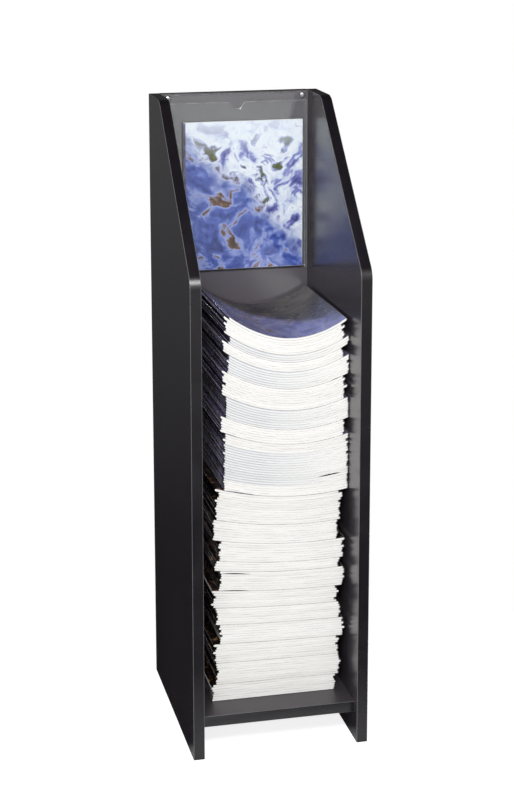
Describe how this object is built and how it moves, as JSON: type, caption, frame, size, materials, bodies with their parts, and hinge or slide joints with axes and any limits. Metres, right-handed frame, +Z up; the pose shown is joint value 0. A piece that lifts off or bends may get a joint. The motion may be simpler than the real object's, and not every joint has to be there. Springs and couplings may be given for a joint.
{
  "type": "periodical display rack",
  "caption": "Tall narrow floor rack of black laminated board with sloped sides, a clear pocket for a display copy and a bottom shelf that holds a pile of periodicals to take away.",
  "frame": {"origin": "on the floor, under the middle of the rack's box", "axes": "+Z up, +X to the right of a reader who faces the rack, the open front faces -Y"},
  "size_m": [0.305, 0.366, 1.0897],
  "materials": {
    "black_laminate": "black melamine laminate on board, satin",
    "edge_band": "black PVC edge band, satin",
    "clear_acrylic": "clear polished acrylic sheet",
    "bright_screw": "bright nickel plate",
    "beech": "plain beech",
    "cover_stock": "glossy printed cover, dark blue",
    "page_stock": "trimmed page edges, off-white"
  },
  "bodies": {
    "rack": {"side_panel_left": "black_laminate", "side_panel_right": "black_laminate", "back_panel": "black_laminate", "bottom_shelf": "black_laminate", "edge_band_left": "edge_band", "edge_band_right": "edge_band", "back_edge_band": "edge_band", "shelf_edge_band": "edge_band", "shelf_dowel_left_1": "beech", "shelf_dowel_left_2": "beech", "back_dowel_left_1": "beech", "back_dowel_left_2": "beech", "back_dowel_left_3": "beech", "shelf_rear_dowel_left": "beech", "shelf_dowel_right_1": "beech", "shelf_dowel_right_2": "beech", "back_dowel_right_1": "beech", "back_dowel_right_2": "beech", "back_dowel_right_3": "beech", "shelf_rear_dowel_right": "beech", "display_pocket": "clear_acrylic", "pocket_screw_left": "bright_screw", "pocket_screw_right": "bright_screw"},
    "display_copy": {"display_copy": "cover_stock"},
    "bundle_01": {"bundle_01": "page_stock"},
    "bundle_02": {"bundle_02": "page_stock"},
    "bundle_03": {"bundle_03": "page_stock"},
    "bundle_04": {"bundle_04": "page_stock"},
    "bundle_05": {"bundle_05": "page_stock"},
    "bundle_06": {"bundle_06": "page_stock"},
    "bundle_07": {"bundle_07": "page_stock"},
    "bundle_08": {"bundle_08": "page_stock"},
    "bundle_09": {"bundle_09": "page_stock"},
    "bundle_10": {"bundle_10": "page_stock"},
    "bundle_11": {"bundle_11": "page_stock"},
    "bundle_12": {"bundle_12": "page_stock"},
    "bundle_13": {"bundle_13": "page_stock"},
    "bundle_14": {"bundle_14": "page_stock"},
    "bundle_15": {"bundle_15": "page_stock"},
    "bundle_16": {"bundle_16": "page_stock"},
    "bundle_17": {"bundle_17": "page_stock"},
    "bundle_18": {"bundle_18": "page_stock"},
    "bundle_19": {"bundle_19": "page_stock"},
    "top_copy": {"top_copy": "cover_stock"}
  },
  "joints": [
    {"name": "display_copy_lift", "type": "slide", "parent": "rack", "child": "display_copy", "axis": [0, 0, 1], "range_m": [0, 0.33]},
    {"name": "bundle_01_slide", "type": "slide", "parent": "rack", "child": "bundle_01", "axis": [0, -1, 0], "range_m": [0, 0.345]},
    {"name": "bundle_02_slide", "type": "slide", "parent": "rack", "child": "bundle_02", "axis": [0, -1, 0.0007], "range_m": [0, 0.345]},
    {"name": "bundle_03_slide", "type": "slide", "parent": "rack", "child": "bundle_03", "axis": [0, -1, 0.0016], "range_m": [0, 0.345]},
    {"name": "bundle_04_slide", "type": "slide", "parent": "rack", "child": "bundle_04", "axis": [0, -1, 0.0024], "range_m": [0, 0.345]},
    {"name": "bundle_05_slide", "type": "slide", "parent": "rack", "child": "bundle_05", "axis": [0, -1, 0.0032], "range_m": [0, 0.345]},
    {"name": "bundle_06_slide", "type": "slide", "parent": "rack", "child": "bundle_06", "axis": [0, -1, 0.0039], "range_m": [0, 0.345]},
    {"name": "bundle_07_slide", "type": "slide", "parent": "rack", "child": "bundle_07", "axis": [0, -1, 0.0045], "range_m": [0, 0.345]},
    {"name": "bundle_08_slide", "type": "slide", "parent": "rack", "child": "bundle_08", "axis": [0, -1, 0.0053], "range_m": [0, 0.345]},
    {"name": "bundle_09_slide", "type": "slide", "parent": "rack", "child": "bundle_09", "axis": [0, -1, 0.0057], "range_m": [0, 0.345]},
    {"name": "bundle_10_slide", "type": "slide", "parent": "rack", "child": "bundle_10", "axis": [0, -1, 0.0065], "range_m": [0, 0.345]},
    {"name": "bundle_11_slide", "type": "slide", "parent": "rack", "child": "bundle_11", "axis": [0, -1, 0.0073], "range_m": [0, 0.345]},
    {"name": "bundle_12_slide", "type": "slide", "parent": "rack", "child": "bundle_12", "axis": [0, -1, 0.0085], "range_m": [0, 0.345]},
    {"name": "bundle_13_slide", "type": "slide", "parent": "rack", "child": "bundle_13", "axis": [0, -0.9999, 0.0107], "range_m": [0, 0.345]},
    {"name": "bundle_14_slide", "type": "slide", "parent": "rack", "child": "bundle_14", "axis": [0, -0.9999, 0.0112], "range_m": [0, 0.345]},
    {"name": "bundle_15_slide", "type": "slide", "parent": "rack", "child": "bundle_15", "axis": [0, -0.9999, 0.012], "range_m": [0, 0.345]},
    {"name": "bundle_16_slide", "type": "slide", "parent": "rack", "child": "bundle_16", "axis": [0, -0.9999, 0.0129], "range_m": [0, 0.345]},
    {"name": "bundle_17_slide", "type": "slide", "parent": "rack", "child": "bundle_17", "axis": [0, -0.9999, 0.0136], "range_m": [0, 0.345]},
    {"name": "bundle_18_slide", "type": "slide", "parent": "rack", "child": "bundle_18", "axis": [0, -0.9999, 0.014], "range_m": [0, 0.345]},
    {"name": "bundle_19_slide", "type": "slide", "parent": "rack", "child": "bundle_19", "axis": [0, -0.9999, 0.0143], "range_m": [0, 0.345]},
    {"name": "top_copy_slide", "type": "slide", "parent": "rack", "child": "top_copy", "axis": [0, -0.9999, 0.0149], "range_m": [0, 0.345]}
  ]
}
